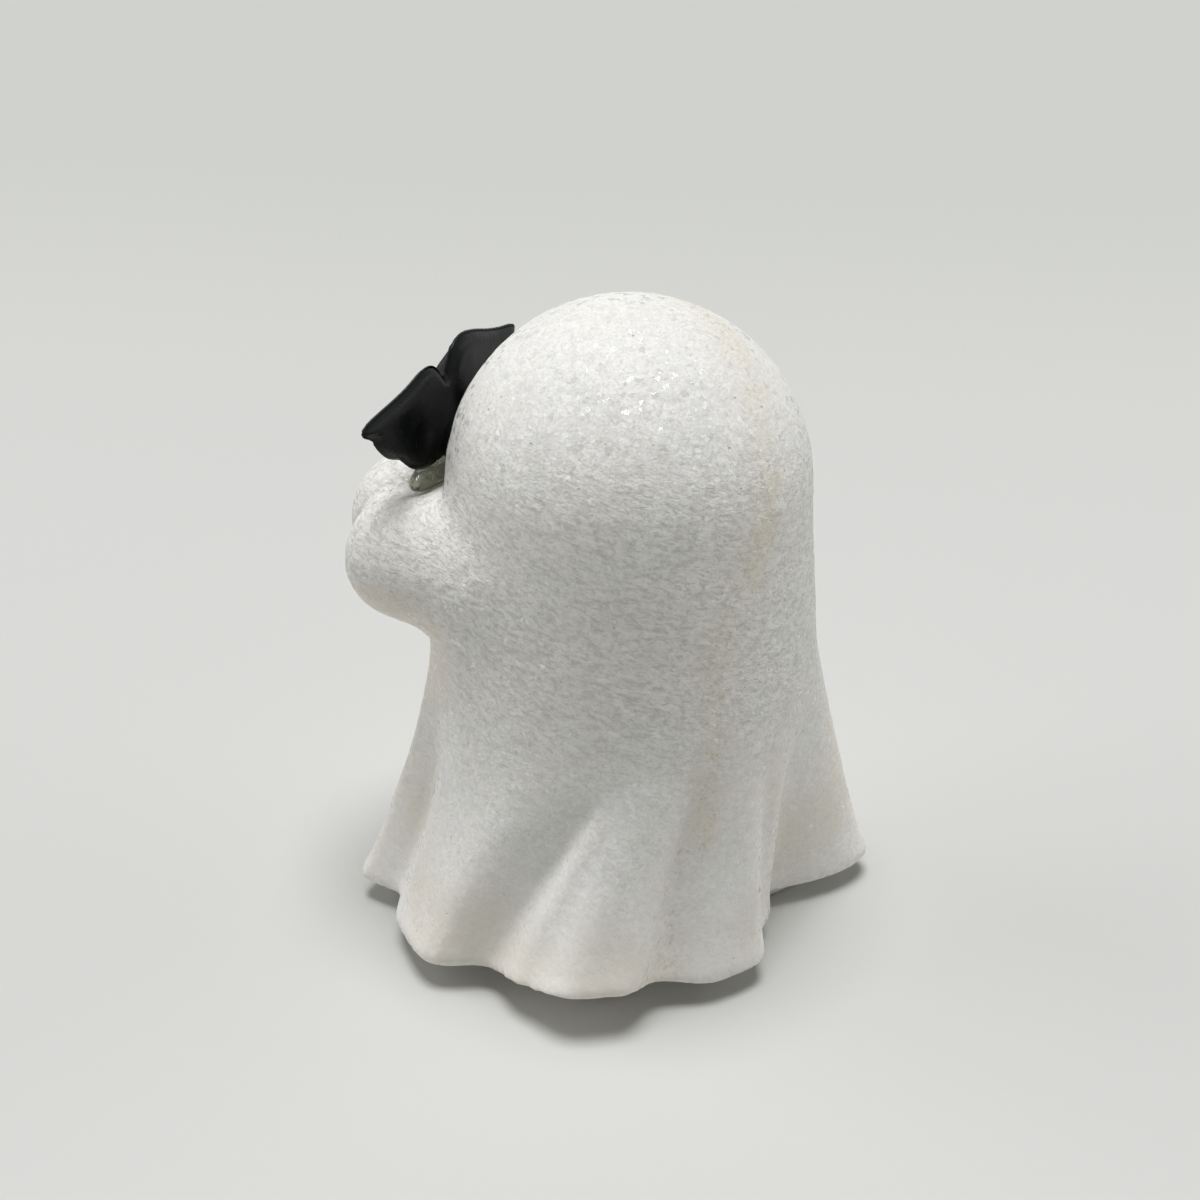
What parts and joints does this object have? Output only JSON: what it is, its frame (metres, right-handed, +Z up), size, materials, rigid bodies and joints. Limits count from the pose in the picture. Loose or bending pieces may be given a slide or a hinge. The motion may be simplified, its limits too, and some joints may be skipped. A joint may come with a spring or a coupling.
{
  "type": "ghost carving",
  "caption": "Small carved marble ghost under a draped, folded sheet, hugging a flat polished black bat to its chest, with dark oval eyes let into the dome.",
  "frame": {"origin": "on the flat foot, under the axis of the dome", "axes": "+Z up; the ghost faces -Y; its left hand is on the +X side; +Y is its back"},
  "size_m": [0.0583, 0.0615, 0.075],
  "materials": {
    "marble": "satin, coarse crystalline grain",
    "obsidian": "polished",
    "adhesive": "clear, glossy",
    "eye_stone": "polished"
  },
  "bodies": {
    "root": {"ghost_body": "marble", "bat": "obsidian", "glue_bead": "adhesive", "left_eye": "eye_stone", "right_eye": "eye_stone"}
  },
  "joints": []
}
